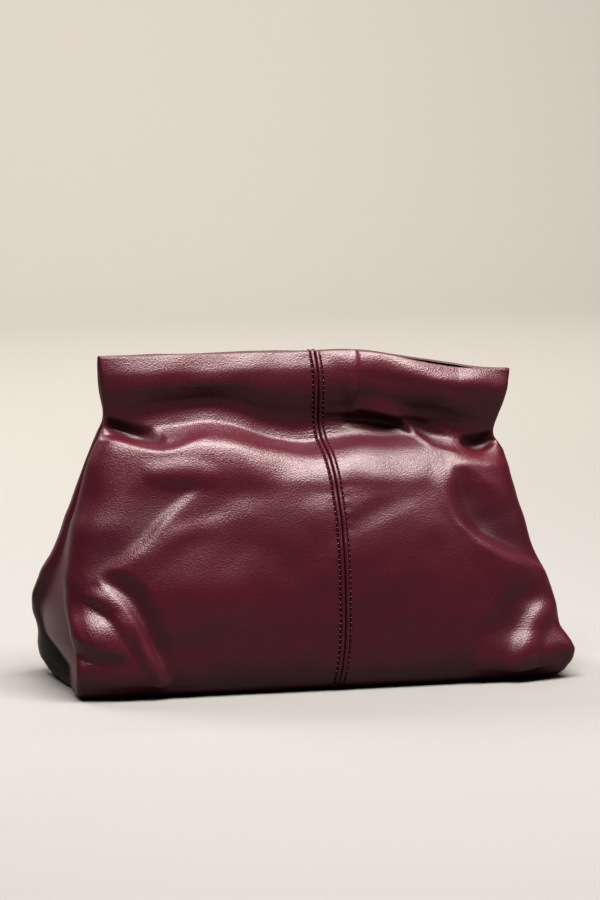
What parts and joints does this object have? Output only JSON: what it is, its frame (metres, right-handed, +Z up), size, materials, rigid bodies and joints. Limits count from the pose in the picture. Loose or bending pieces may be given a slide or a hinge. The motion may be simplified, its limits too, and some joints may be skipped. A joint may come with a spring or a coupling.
{
  "type": "leather clutch bag",
  "caption": "Soft slouchy leather clutch bag standing on a flat base, gathered to a narrow mouth and held shut by a hidden snap.",
  "frame": {"origin": "centre of the base's underside, where the bag stands on a surface", "axes": "+Z up, +X to the viewer's right along the bag's width, +Y from its front to its back"},
  "size_m": [0.3929, 0.1285, 0.2331],
  "materials": {
    "panel_leather": "polished, fine grain",
    "base_leather": "satin, fine grain",
    "snap_metal": "satin"
  },
  "bodies": {
    "root": {"front_left_panel": "panel_leather", "front_right_panel": "panel_leather", "back_left_panel": "panel_leather", "back_right_panel": "panel_leather", "base_panel": "base_leather", "magnetic_snap": "snap_metal"}
  },
  "joints": []
}
